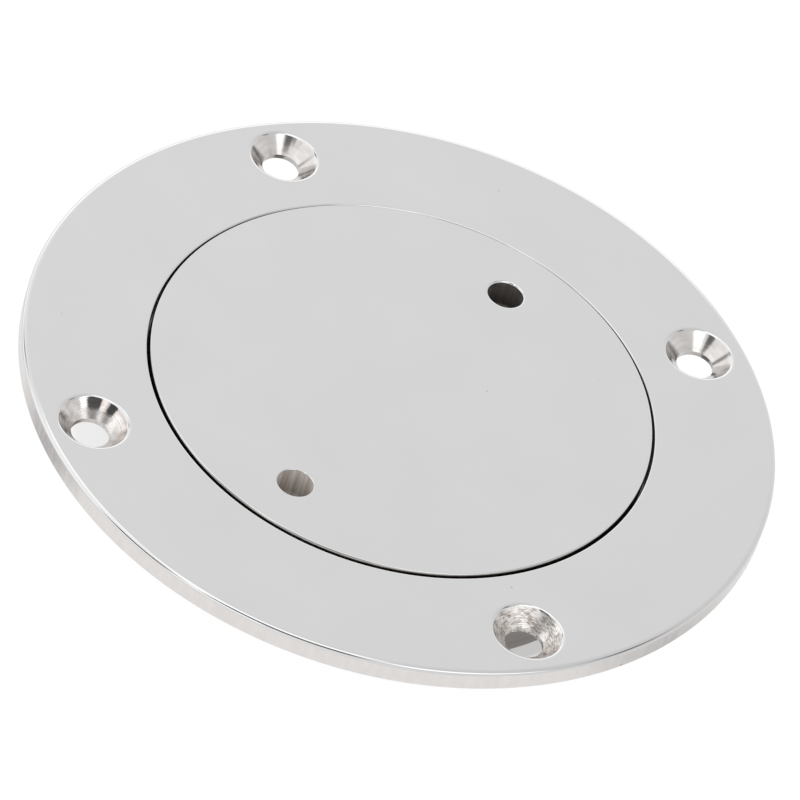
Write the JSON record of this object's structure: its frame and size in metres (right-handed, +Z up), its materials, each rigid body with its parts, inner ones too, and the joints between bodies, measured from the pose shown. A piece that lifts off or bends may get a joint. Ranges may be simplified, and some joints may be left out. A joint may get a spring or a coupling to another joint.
{
  "type": "deck inspection plate",
  "caption": "Round deck plate with a countersunk flange, a collar below and a flush screw-in lid that is turned with a pin key and sealed by a rubber ring.",
  "frame": {"origin": "centre of the screw circle on the flange's underside, in the deck plane", "axes": "+Z up out of the deck along the plate's axis, +X from the axis through one screw hole"},
  "size_m": [0.127, 0.127, 0.018],
  "materials": {
    "polished_steel": "stainless steel, mirror polished on top, turned or cast below",
    "seal_rubber": "matt black moulded rubber"
  },
  "bodies": {
    "deck_ring": {"deck_ring": "polished_steel"},
    "seal": {"o_ring": "seal_rubber"},
    "lid": {"lid": "polished_steel"}
  },
  "joints": [
    {"name": "lid_lift", "type": "slide", "parent": "deck_ring", "child": "seal", "axis": [0, 0, 1], "range_m": [0, 0.0135]},
    {"name": "lid_turn", "type": "hinge", "parent": "seal", "child": "lid", "pos_m": [0, 0, 0], "axis": [0, 0, 1], "range_deg": [0, 1620]}
  ],
  "couplings": [
    {"joint": "lid_lift", "follows": "lid_turn", "m_per_rad": 0.00047746}
  ]
}
